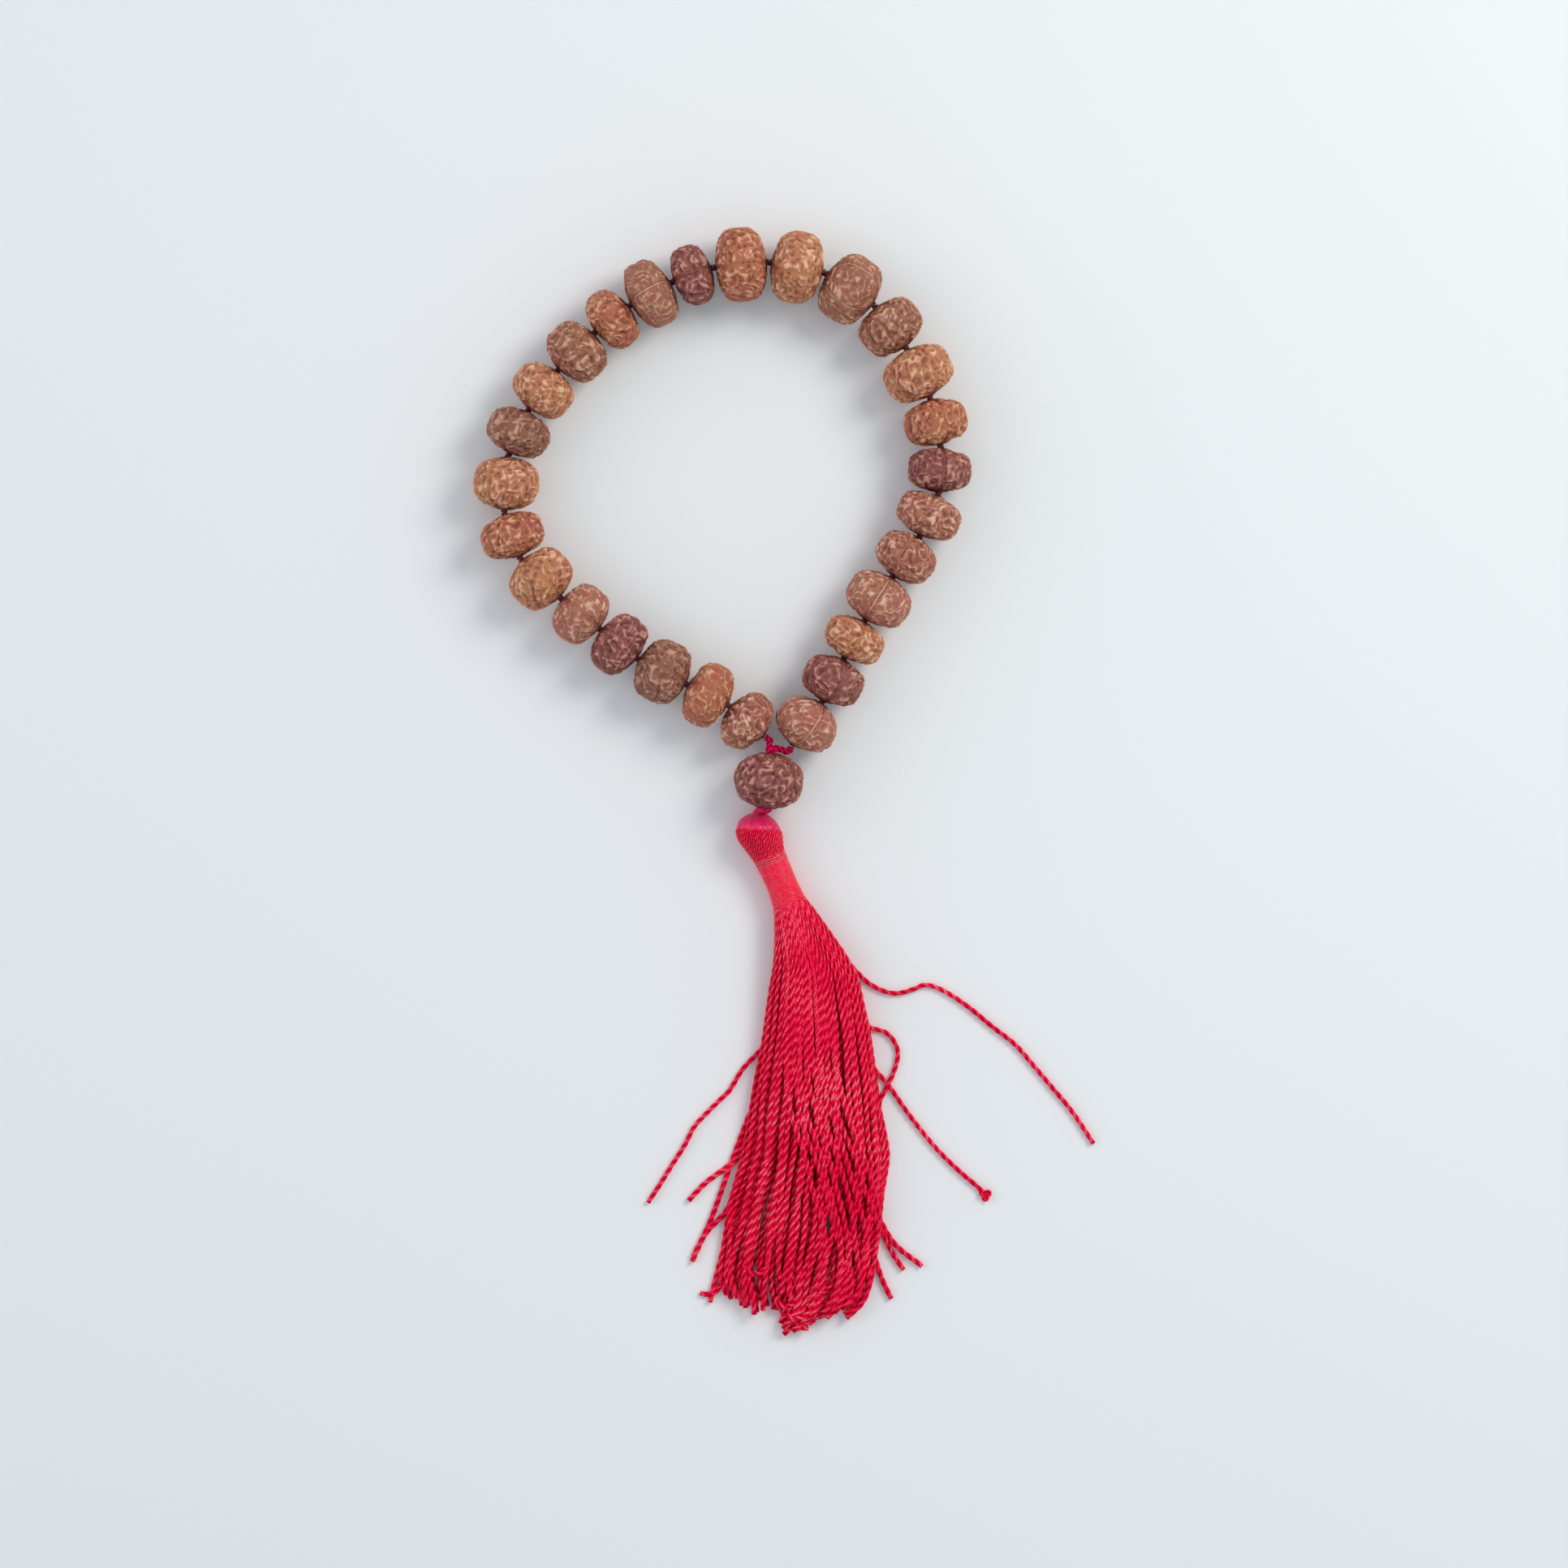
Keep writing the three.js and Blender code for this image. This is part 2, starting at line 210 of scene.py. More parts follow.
def stone_finish(name):
    """Dry woody rudraksha stone, matt in the crevices and smoother on the crests of its ridges. Its colour
    follows the carved height: painted shade darkens the crevices and painted highlight pales the crests."""
    crevice, body, crest = STONES[name]
    stone = new_material("rudraksha_" + name.split("_")[1])
    height = add_node(stone, "ShaderNodeAttribute", attribute_name="height").outputs["Fac"]
    place = add_node(stone, "ShaderNodeTexCoord").outputs["Object"]
    # blotches of redder and yellower wood about 3 mm across
    blotch = add_node(stone, "ShaderNodeTexNoise", {"Vector": place, "Scale": 330.0, "Detail": 3.0})
    # grain of the dry wood, about 0.15 mm
    grain = add_node(stone, "ShaderNodeTexNoise", {"Vector": place, "Scale": 6500.0, "Detail": 2.0})
    # grain plus carved height: the ramp paints shade in the crevices and highlight on the crests
    relief_light_and_grain = add_node(
        stone, "ShaderNodeMath", {0: grain.outputs["Fac"], 1: 0.25, 2: height}, operation="MULTIPLY_ADD"
    )
    tone = colour_ramp(stone, relief_light_and_grain.outputs[0], [(0.2, crevice), (0.5, body), (0.72, body), (1.0, crest)])
    shift = add_node(
        stone,
        "ShaderNodeMapRange",
        {"Value": blotch.outputs["Fac"], "From Min": 0.3, "From Max": 0.7, "To Min": 0.490, "To Max": 0.506},
    )
    varied = add_node(
        stone,
        "ShaderNodeHueSaturation",
        {"Hue": shift.outputs[0], "Saturation": 1.06, "Value": 1.05, "Color": tone.outputs["Color"]},
    )
    rough = add_node(stone, "ShaderNodeMapRange", {"Value": height, "To Min": 0.85, "To Max": 0.5})
    bump = add_node(
        stone, "ShaderNodeBump", {"Height": grain.outputs["Fac"], "Strength": 0.35, "Distance": 0.1 * MM}
    )
    wood = add_node(
        stone,
        "ShaderNodeBsdfPrincipled",
        {
            "Base Color": varied.outputs["Color"],
            "Roughness": rough.outputs[0],
            "Normal": bump.outputs["Normal"],
            "IOR": 1.5,
        },
    )
    surface(stone, wood)
    return stone


def carve_height(point, draw, smoothness):
    """0 in a crevice to 1 on a crest, at a point in metres from the seed's middle."""
    at = point / RIDGE_SIZE + draw
    bend = noise.noise_vector(at * BEND_SCALE) * BEND
    near, next_near = noise.voronoi(at * NODULE_SCALE + bend)[0][:2]
    nodule = min(1.0, (next_near - near) * NODULE_EDGE)
    worm = 1 - min(1.0, abs(noise.noise(at + bend * WORM_BEND)) * WORM_EDGE)
    fine = noise.noise(at * FINE_SCALE)
    height = NODULE_SHARE * nodule + WORM_SHARE * worm + FINE_SHARE * fine
    return max(0.0, min(1.0, 0.12 + height * (1.1 - smoothness) + smoothness * 0.5))


def measured(node, middle, axis):
    """A CAD seed's radius, half thickness and bore radius, from its own mesh."""
    radial = []
    axial = []
    for vertex in frame["nodes"][node].data.vertices:
        from_middle = vertex.co - middle
        along = from_middle.dot(axis)
        axial.append(abs(along))
        radial.append((from_middle - along * axis).length)
    return max(radial), max(axial), min(radial)


def carved_seed(name, node, joint, turn, smoothness, seam_paleness, finish, section=SEED_SECTION):
    """A drilled seed: its outline is spun about the hole, then carved along its normals."""
    middle = Vector(joint["pos_m"])
    axis = Vector(joint["axis"]).normalized()
    radius, half, bore = measured(node, middle, axis)
    half += SEED_SWELL
    mouth = math.acos((bore / radius) ** (section / 2))
    shape = bmesh.new()
    outline = []
    for i in range(SEED_RINGS + 1):
        a = mouth * (2 * i / SEED_RINGS - 1)
        out = radius * math.cos(a) ** (2 / section)
        up = half * math.copysign(abs(math.sin(a)) ** (2 / section), a)
        outline.append(shape.verts.new((out, 0, up)))
    top = outline[-1].co.z
    for i in range(1, BORE_RINGS):
        outline.append(shape.verts.new((bore, 0, top * (1 - 2 * i / BORE_RINGS))))
    edges = [shape.edges.new(pair) for pair in zip(outline, outline[1:] + outline[:1])]
    bmesh.ops.spin(
        shape,
        geom=outline + edges,
        cent=(0, 0, 0),
        axis=(0, 0, 1),
        dvec=(0, 0, 0),
        angle=2 * math.pi,
        steps=SEED_STEPS,
        use_merge=True,
        use_duplicate=False,
    )
    bmesh.ops.remove_doubles(shape, verts=shape.verts, dist=0.001 * MM)
    bmesh.ops.recalc_face_normals(shape, faces=shape.faces)
    shape.normal_update()
    draw = Vector([random.uniform(-50, 50) for _ in range(3)])
    height_layer = shape.verts.layers.float.new("height")
    moves = []
    for vertex in shape.verts:
        place = vertex.co
        out = math.hypot(place.x, place.y)
        skin = max(0.0, min(1.0, (out - bore) / MOUTH_RIM))
        height = carve_height(place, draw, smoothness)
        lump = noise.noise(place / LUMP_SIZE + draw) * LUMP_DEPTH
        wave = (math.atan2(place.y, place.x) * CLEFTS / (2 * math.pi)) % 1 - 0.5
        from_cleft = (0.5 - abs(wave)) * 2 * math.pi * out / CLEFTS
        cleft = math.exp(-((from_cleft / CLEFT_WIDTH) ** 2))
        seam = math.exp(-((from_cleft / (0.35 * CLEFT_WIDTH)) ** 2))
        depth = (1 - height) * RIDGE_DEPTH * (1 - 0.6 * cleft) + CLEFT_DEPTH * cleft + abs(lump)
        # the colouring height is halved in the clefts and falls off towards each mouth: painted shade in the
        # clefts and at the hole
        vertex[height_layer] = max(height * (1 - 0.5 * cleft), seam_paleness * seam) * (0.25 + 0.75 * skin)
        moves.append(vertex.normal * -depth * skin)
    for vertex, move in zip(shape.verts, moves):
        vertex.co += move
    turned = Vector((0, 0, 1)).rotation_difference(axis).to_matrix() @ Matrix.Rotation(turn, 3, "Z")
    bmesh.ops.transform(shape, matrix=Matrix.Translation(middle) @ turned.to_4x4(), verts=shape.verts)
    piece = new_piece(name, shape, finish)
    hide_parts(node)
    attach(piece, joint["child"])
    return piece


random.seed(27)
joints = {joint["name"]: joint for joint in frame["joints"]}
slots = {part["node"]: part["material_slot"] for part in frame["record"]["subparts"]}
stone_finishes = {name: stone_finish(name) for name in STONES}
# some stones are worn smoother than the rest, and some have a pale line from hole to hole
SMOOTH_SEEDS = {2: 0.3, 5: 0.3, 13: 0.35, 17: 0.25, 24: 0.3, 27: 0.25}
PALE_SEAMS = (13, 17, 24, 27)
SEEDS = 27
SEED_TURN = 2.4  # radians between one seed's clefts and the next one's
for number in range(1, SEEDS + 1):
    node = f"bead_{number:02d}"
    stone = carved_seed(
        f"rudraksha_{number:02d}",
        node,
        joints[f"bead_spin_{number:02d}"],
        turn=number * SEED_TURN,
        smoothness=SMOOTH_SEEDS.get(number, 0.08),
        seam_paleness=0.95 if number in PALE_SEAMS else 0.45,
        finish=stone_finishes[slots[node]],
        section=ROUND_SECTION if number in (1, SEEDS) else SEED_SECTION,
    )
guru = carved_seed(
    "rudraksha_guru",
    "guru_bead",
    joints["guru_spin"],
    turn=0.6,
    smoothness=0.0,
    seam_paleness=0.3,
    finish=stone_finishes["seed_mauve"],
    section=ROUND_SECTION,
)


# ---- stringing cord ----
# Hot-pink silk cord, three plies twisted. One thread on the real mala: here a length for each seed,
# because the loop bends in the gaps between seeds.
CORD_PITCH = 2.6 * MM
THREAD_STEP = 0.3 * MM


def silk_finish(name, shade, body, crest, roughness, glint_share=0.5, gloss="#FF5064"):
    """Twisted silk: its colour is painted shade between its plies and painted highlight on their crests, with a
    soft shine in its own hue.
    """
    silk = new_material(name)
    height = add_node(silk, "ShaderNodeAttribute", attribute_name="height").outputs["Fac"]
    place = add_node(silk, "ShaderNodeTexCoord").outputs["Object"]
    # filaments show as glints about 0.4 mm long
    glint = add_node(silk, "ShaderNodeTexNoise", {"Vector": place, "Scale": 2300.0, "Detail": 2.0})
    # whole strands run darker and lighter over about 8 mm
    dyed = add_node(silk, "ShaderNodeTexNoise", {"Vector": place, "Scale": 120.0, "Detail": 1.0})
    # painted glints added to the ply height, which paints shade between the plies and highlight on their crests
    glint_and_ply_light = add_node(
        silk,
        "ShaderNodeMath",
        {0: glint.outputs["Fac"], 1: glint_share, 2: height},
        operation="MULTIPLY_ADD",
    )
    lifted = add_node(
        silk,
        "ShaderNodeMath",
        {0: dyed.outputs["Fac"], 1: 0.5, 2: glint_and_ply_light.outputs[0]},
        operation="MULTIPLY_ADD",
    )
    scaled = add_node(silk, "ShaderNodeMath", {0: lifted.outputs[0], 1: 0.5}, operation="MULTIPLY")
    tone = colour_ramp(silk, scaled.outputs[0], [(0.28, shade), (0.46, body), (0.68, body), (0.77, crest)])
    thread = add_node(
        silk,
        "ShaderNodeBsdfPrincipled",
        {
            "Base Color": tone.outputs["Color"],
            "Roughness": roughness,
            "Specular IOR Level": 0.5,
            "Specular Tint": linear(gloss),
        },
    )
    surface(silk, thread)
    return silk


def ply_section(plies, radius, sides, waist):
    """The cross-section of so many plies laid together, as a closed curve, and each point's height."""
    data = bpy.data.curves.new(f"section_{plies}_ply", "CURVE")
    data.dimensions = "2D"
    outline = data.splines.new("POLY")
    outline.points.add(sides - 1)
    heights = []
    for i, point in enumerate(outline.points):
        a = 2 * math.pi * i / sides
        height = (1 + math.cos(plies * a)) / 2
        reach = radius * (waist + (1 - waist) * math.sqrt(height))
        point.co = (reach * math.cos(a), reach * math.sin(a), 0, 1)
        heights.append(height)
    outline.use_cyclic_u = True
    return bpy.data.objects.new(f"section_{plies}_ply", data), heights


def smooth_route(points, step):
    """Points every step along a smooth line through the given ones."""
    ends = [points[0] * 2 - points[1], *points, points[-1] * 2 - points[-2]]
    route = []
    for a, b, c, d in zip(ends, ends[1:], ends[2:], ends[3:]):
        count = max(1, round((c - b).length / step))
        for i in range(count):
            t = i / count
            bow = (a * 2 - b * 5 + c * 4 - d) * t * t + (b * 3 - a - c * 3 + d) * t**3
            route.append((b * 2 + (c - a) * t + bow) / 2)
    return route + [points[-1]]


def twisted(name, routes, section, pitch, finish, girth=None):
    """Twisted strands, each swept along its own route. girth gives a point's share of the full radius."""
    profile, heights = section
    data = bpy.data.curves.new(name, "CURVE")
    data.dimensions = "3D"
    data.twist_mode = "Z_UP"
    data.bevel_mode = "OBJECT"
    data.bevel_object = profile
    for route in routes:
        strand = data.splines.new("POLY")
        strand.points.add(len(route) - 1)
        run = random.uniform(0, 2 * math.pi)
        for i, point in enumerate(route):
            if i and pitch:
                run += 2 * math.pi * (point - route[i - 1]).length / pitch
            strand.points[i].co = (*point, 1)
            strand.points[i].tilt = run
            strand.points[i].radius = girth(i / (len(route) - 1)) if girth else 1.0
    drawn = bpy.data.objects.new(name, data)
    bpy.context.scene.collection.objects.link(drawn)
    swept = bpy.data.meshes.new_from_object(drawn.evaluated_get(bpy.context.evaluated_depsgraph_get()))
    bpy.data.objects.remove(drawn)
    layer = swept.attributes.new("height", "FLOAT", "POINT")
    layer.data.foreach_set("value", [heights[i % len(heights)] for i in range(len(swept.vertices))])
    shape = bmesh.new()
    shape.from_mesh(swept)
    bmesh.ops.holes_fill(shape, edges=shape.edges, sides=len(heights))
    bmesh.ops.recalc_face_normals(shape, faces=shape.faces)
    return new_piece(name, shape, finish)


cord_finish = silk_finish("hot_pink_silk_cord", "#8E0034", "#E8125A", "#FF5C93", 0.5)
# between the seeds the cord is coloured dark and brownish: painted shade of the narrow gaps between the seeds
shaded_gap_cord_finish = silk_finish("shaded_gap_silk_cord", "#3E1018", "#7A2034", "#98485A", 0.7, gloss="#FFFFFF")
CORD_RADIUS = 0.55 * MM
GAP_REACH = 0.15 * MM  # a length reaches this far past its CAD link, to the middle of the gap
cord_section = ply_section(3, CORD_RADIUS, 12, 0.62)
body_of = {node: body for body, nodes in frame["record"]["behaviour"]["bodies"].items() for node in nodes}
for number in range(1, SEEDS + 1):
    node = f"cord_{number:02d}"
    joint = joints[f"bead_spin_{number:02d}"]
    middle = Vector(joint["pos_m"])
    axis = Vector(joint["axis"]).normalized()
    reach = measured(node, middle, axis)[1] + GAP_REACH
    route = smooth_route([middle - axis * reach, middle, middle + axis * reach], THREAD_STEP)
    # each length between seeds takes the cord colour darkened as painted shade
    thread = twisted(f"stringing_{number:02d}", [route], cord_section, CORD_PITCH, shaded_gap_cord_finish)
    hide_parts(node)
    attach(thread, body_of[node])


# ---- cord ends through the guru ----
# The stringing cord's two ends meet above the guru, run side by side through its hole
# and go into the head of the tassel, where they are tied.
guru_middle = Vector(joints["guru_spin"]["pos_m"])
guru_axis = Vector(joints["guru_spin"]["axis"]).normalized()
guru_half = measured("guru_bead", guru_middle, guru_axis)[1]
guru_top = guru_middle - guru_axis * guru_half
guru_foot = guru_middle + guru_axis * guru_half
beside = guru_axis.cross(Vector((0, 0, 1))).normalized()
ENDS_APART = 0.42 * MM  # each end's distance from the middle of the guru's hole

end_routes = []
for spin, corner, side in (("bead_spin_01", "loop_squeeze", 1), ("bead_spin_27", "bend_guru_27", -1)):
    start = Vector(joints[corner]["pos_m"])
    onwards = (start - Vector(joints[spin]["pos_m"])).normalized()
    apart = beside * side * ENDS_APART
    if (start - guru_top).dot(apart) < 0:
        apart = -apart
    end_routes.append(
        smooth_route(
            [
                start + onwards * GAP_REACH,
                start + onwards * 1.0 * MM,
                guru_top - guru_axis * 0.7 * MM + apart,
                guru_top + guru_axis * 1.2 * MM + apart,
                guru_middle + apart,
                guru_foot - guru_axis * 1.0 * MM + apart,
            ],
            THREAD_STEP,
        )
    )
cord_ends = twisted("cord_ends_in_guru", end_routes, cord_section, CORD_PITCH, cord_finish)
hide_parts("guru_cord")
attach(cord_ends, body_of["guru_cord"])


# ---- tassel head ----
# A hank of crimson silk folded over the cord: smooth satin at the top, where its strands are pulled
# tight together, and separate twisted strands lower down, above the binding.
END_MARGIN = 0.3 * MM  # a CAD piece is measured this far in from its flat ends


def cut_across(node, place, along):
    """Where a plane square to along cuts a CAD node: middle, sideways, half width and half height."""
    solid = bmesh.new()
    solid.from_mesh(frame["nodes"][node].data)
    whole = solid.verts[:] + solid.edges[:] + solid.faces[:]
    cut = bmesh.ops.bisect_plane(solid, geom=whole, plane_co=place, plane_no=along)["geom_cut"]
    edge = [part.co - place for part in cut if isinstance(part, bmesh.types.BMVert)]
    solid.free()
    sideways = Vector((-along.y, along.x, 0)).normalized()
    left, right = min(p.dot(sideways) for p in edge), max(p.dot(sideways) for p in edge)
    low, high = min(p.z for p in edge), max(p.z for p in edge)
    middle = place + sideways * (left + right) / 2
    middle.z = place.z + (low + high) / 2
    return middle, sideways, (right - left) / 2, (high - low) / 2


def spine(node, count):
    """Evenly spaced stations of a lying CAD node, from its +Y end to its -Y end."""
    low, high = (Vector(corner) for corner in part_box(node))
    tries = [Vector((0, high.y + (low.y - high.y) * share, 0)) for share in (0.2, 0.8)]
    near, far = (cut_across(node, place, Vector((0, -1, 0)))[0] for place in tries)
    along = far - near
    along.z = 0
    along.normalize()
    runs = [(vertex.co - near).dot(along) for vertex in frame["nodes"][node].data.vertices]
    start, end = min(runs) + END_MARGIN, max(runs) - END_MARGIN
    places = [near + along * (start + (end - start) * i / (count - 1)) for i in range(count)]
    return [cut_across(node, place, along) for place in places]


def station_at(stations, share):
    """A station between two others, at a share of the way along from 0 to 1."""
    at = max(0.0, min(0.9999, share)) * (len(stations) - 1)
    i = int(at)
    a, b = stations[i], stations[i + 1]
    return [a[k] + (b[k] - a[k]) * (at - i) for k in range(4)]


def eased(value, low, high):
    """0 below low, 1 above high, and a smooth rise between."""
    t = max(0.0, min(1.0, (value - low) / (high - low)))
    return t * t * (3 - 2 * t)


def lofted(name, rings, sides, finish):
    """A closed body through rings of (middle, sideways, half width, half height)."""
    shape = bmesh.new()
    loops = []
    for middle, sideways, across, up in rings:
        along = sideways.cross(Vector((0, 0, 1)))
        turn = Matrix((sideways * across, (0, 0, up), along)).transposed().to_4x4()
        circle = bmesh.ops.create_circle(
            shape, segments=sides, radius=1, matrix=Matrix.Translation(middle) @ turn
        )["verts"]
        loops.append(list({edge for vertex in circle for edge in vertex.link_edges}))
    for a, b in zip(loops, loops[1:]):
        bmesh.ops.bridge_loops(shape, edges=a + b)
    bmesh.ops.holes_fill(shape, edges=shape.edges, sides=sides)
    bmesh.ops.recalc_face_normals(shape, faces=shape.faces)
    return new_piece(name, shape, finish)


head_spine = spine("tassel_head", 24)
binding_spine = spine("tassel_binding", 24)
head_top = head_spine[0][0]


def satin_finish(name, shade, body, crest):
    """Silk floss pulled tight: fine streaks run down it, and it shines in soft bands."""
    satin = new_material(name)
    place = add_node(satin, "ShaderNodeTexCoord").outputs["Object"]
    # filaments lie side by side about 0.2 mm apart and run 3 mm before they cross
    along = add_node(
        satin, "ShaderNodeMapping", {"Vector": place, "Scale": (1.0, 0.12, 1.0), "Rotation": (0, 0, -0.3)}
    )
    streak = add_node(
        satin, "ShaderNodeTexNoise", {"Vector": along.outputs[0], "Scale": 3600.0, "Detail": 3.0}
    )
    tone = colour_ramp(satin, streak.outputs["Fac"], [(0.3, shade), (0.5, body), (0.75, crest)])
    bump = add_node(
        satin, "ShaderNodeBump", {"Height": streak.outputs["Fac"], "Strength": 0.5, "Distance": 0.15 * MM}
    )
    floss = add_node(
        satin,
        "ShaderNodeBsdfPrincipled",
        {
            "Base Color": tone.outputs["Color"],
            "Roughness": 0.48,
            "Normal": bump.outputs["Normal"],
            "Sheen Weight": 0.5,
            "Sheen Roughness": 0.4,
            "Sheen Tint": linear("#FF7FA8"),
        },
    )
    surface(satin, floss)
    return satin


head_finish = satin_finish("hot_pink_silk_satin", "#B4003C", "#F0085C", "#FF3D86")
HEAD_END = 0.6  # below this share of the head its strands turn to run along the binding
CORE_RINGS = 20
CORE_FILL = 0.86  # the core's width where strands lie on it, as a share of the head's
core_rings = []
for i in range(CORE_RINGS):
    share = HEAD_END * i / (CORE_RINGS - 1)
    middle, sideways, across, up = station_at(head_spine, share)
    fill = CORE_FILL + 0.12 * eased(share, 0.0, 0.22) - 0.12 * eased(share, 0.3, 0.5)
    core_rings.append((middle, sideways, across * fill, up * fill))
for middle, sideways, across, up in binding_spine[1:4]:
    core_rings.append((middle, sideways, across * CORE_FILL, up * CORE_FILL))
top_middle, top_sideways, top_across, top_up = core_rings[0]
dome = top_middle + (top_middle - head_spine[1][0]).normalized() * 0.2 * MM
core_rings.insert(0, (dome, top_sideways, top_across * 0.5, top_up * 0.5))
head_core = lofted("head_satin", core_rings, 48, head_finish)
smooth = head_core.modifiers.new("rounded", "SUBSURF")
smooth.levels = smooth.render_levels = 1
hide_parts("tassel_head")
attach(head_core, body_of["tassel_head"])

silk = silk_finish("crimson_twisted_silk", "#B00022", "#FF0A46", "#FF8088", 0.4)
STRANDS_START = 0.24  # share of the head above which it is smooth satin
HEAD_STRANDS = 60
HEAD_STATIONS = 12  # points of each strand's route on the head
BOUND_DEPTH = 0.3 * MM  # how far under the binding's surface they run on
HEAD_STRAND_RADIUS = 0.21 * MM
HEAD_STRAND_PITCH = 1.5 * MM
head_section = ply_section(2, HEAD_STRAND_RADIUS, 8, 0.45)
head_routes = []
for i in range(HEAD_STRANDS):
    a = 2 * math.pi * (i + random.uniform(-0.2, 0.2)) / HEAD_STRANDS
    points = []
    for k in range(HEAD_STATIONS):
        share = STRANDS_START + (HEAD_END - STRANDS_START) * k / (HEAD_STATIONS - 1)
        middle, sideways, across, up = station_at(head_spine, share)
        inset = HEAD_STRAND_RADIUS * (1.9 - 1.2 * eased(share, STRANDS_START, 0.45))
        out = sideways * (across - inset) * math.cos(a) + Vector((0, 0, (up - inset) * math.sin(a)))
        points.append(middle + out)
    for middle, sideways, across, up in binding_spine[1:6:2]:
        rise = Vector((0, 0, (up - BOUND_DEPTH) * math.sin(a)))
        points.append(middle + (sideways * (across - BOUND_DEPTH) * math.cos(a) + rise))
    head_routes.append(smooth_route(points, 0.2 * MM))
head_strands = twisted("head_strands", head_routes, head_section, HEAD_STRAND_PITCH, silk)
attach(head_strands, body_of["tassel_head"])

# The two ends cross the small gap from the guru into the head.
into_head = []
for side in (-1, 1):
    apart = beside * side * ENDS_APART
    inside = head_spine[8][0]
    into_head.append(
        smooth_route(
            [guru_foot - guru_axis * 1.4 * MM + apart, guru_foot + apart, head_top + apart, inside + apart],
            THREAD_STEP,
        )
    )
tied_ends = twisted("cord_into_tassel", into_head, cord_section, CORD_PITCH, cord_finish)
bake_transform(tied_ends)


# ---- tassel binding ----
# A single bright silk thread wound tight round the folded hank, turn against turn, over the lower ends
# of the head's strands and the tops of the fringe's. It shines more than the strands do.
THREAD_RADIUS = 0.18 * MM
TURN_PITCH = 0.34 * MM
TURN_POINTS = 44
# its stronger glint noise paints brighter highlight dashes into the thread's colour, on top of its real gloss
thread_finish = silk_finish(
    "crimson_wound_silk", "#A80028", "#FF0840", "#FF8A96", 0.3, glint_share=1.1, gloss="#FFC8CE"
)
hank_core = lofted(
    "bound_hank",
    [(m, s, across - 0.2 * MM, up - 0.2 * MM) for m, s, across, up in binding_spine],
    32,
    silk,
)
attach(hank_core, body_of["tassel_binding"])
binding_length = sum((b[0] - a[0]).length for a, b in zip(binding_spine, binding_spine[1:]))
turns = int(binding_length / TURN_PITCH)
winding = []
for i in range(turns * TURN_POINTS + 1):
    share = i / (turns * TURN_POINTS)
    a = 2 * math.pi * i / TURN_POINTS
    middle, sideways, across, up = station_at(binding_spine, share)
    wander = 0.05 * MM * math.sin(i * 0.013) * math.cos(i * 0.0017)
    along = sideways.cross(Vector((0, 0, 1)))
    out = sideways * (across - THREAD_RADIUS) * math.cos(a)
    winding.append(middle + out + Vector((0, 0, (up - THREAD_RADIUS) * math.sin(a))) + along * wander)
thread_section = ply_section(2, THREAD_RADIUS, 6, 0.8)
wound = twisted("binding_thread", [winding], thread_section, 0.9 * MM, thread_finish)
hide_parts("tassel_binding")
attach(wound, body_of["tassel_binding"])


# ---- tassel fringe ----
# About a hundred two-ply silk strands, combed out flat on the table. They are thin and tight where
# they leave the binding, and fuller and looser towards their cut tips, some of which curl.
STRAND_RADIUS = 0.44 * MM
STRAND_PITCH = 2.9 * MM
LAYERS = (25, 25, 23, 20)  # strands in each layer, from the table upwards
NECK_STATIONS = 5  # stations of the fringe over which it opens out from the binding
binding_end = binding_spine[-1]
skirt_spine = spine("tassel_skirt", 40)
opened = skirt_spine[NECK_STATIONS]
fringe_spine = [
    [a + (b - a) * i / NECK_STATIONS for a, b in zip(binding_end, opened)] for i in range(NECK_STATIONS)
] + skirt_spine[NECK_STATIONS:]
strand_section = ply_section(2, STRAND_RADIUS, 12, 0.64)
ROUTE_STEPS = 26
CURL_STEPS = 7
# how far a strand strays sideways, in half widths of the fringe
DRIFT = 0.065
LONG_WAVE = 0.035
SHORT_WAVE = 0.02
RISE_AND_FALL = 0.12 * MM
SWEEPING_STRANDS = 8
CURLED_SHARE = 0.2  # of the strands curl at their tips


def across_fringe(u, v, share, lift=0.0):
    """A point of the fringe: u from -1 at its left edge to 1, v from 0 at the table to 1 on top.
    A share below 0 is back inside the binding."""
    stations, share = (fringe_spine, share) if share >= 0 else (binding_spine, 1 + share)
    middle, sideways, half, up = station_at(stations, share)
    thin = 0.5 + 0.5 * eased(share, 0.0, 0.34) if stations is fringe_spine else 0.5
    radius = STRAND_RADIUS * thin
    flat = eased(share, 0.04, 0.3) if stations is fringe_spine else 0.0
    round_z = middle.z + (2 * v - 1) * (up - radius) * math.sqrt(max(0.0, 1 - 0.9 * u * u))
    crown = 2 * up * (1 - 0.5 * u**4)
    flat_z = radius + v * max(0.0, crown - 2 * radius)
    place = middle + sideways * u * (half - radius)
    place.z = round_z + (flat_z - round_z) * flat + lift
    return place


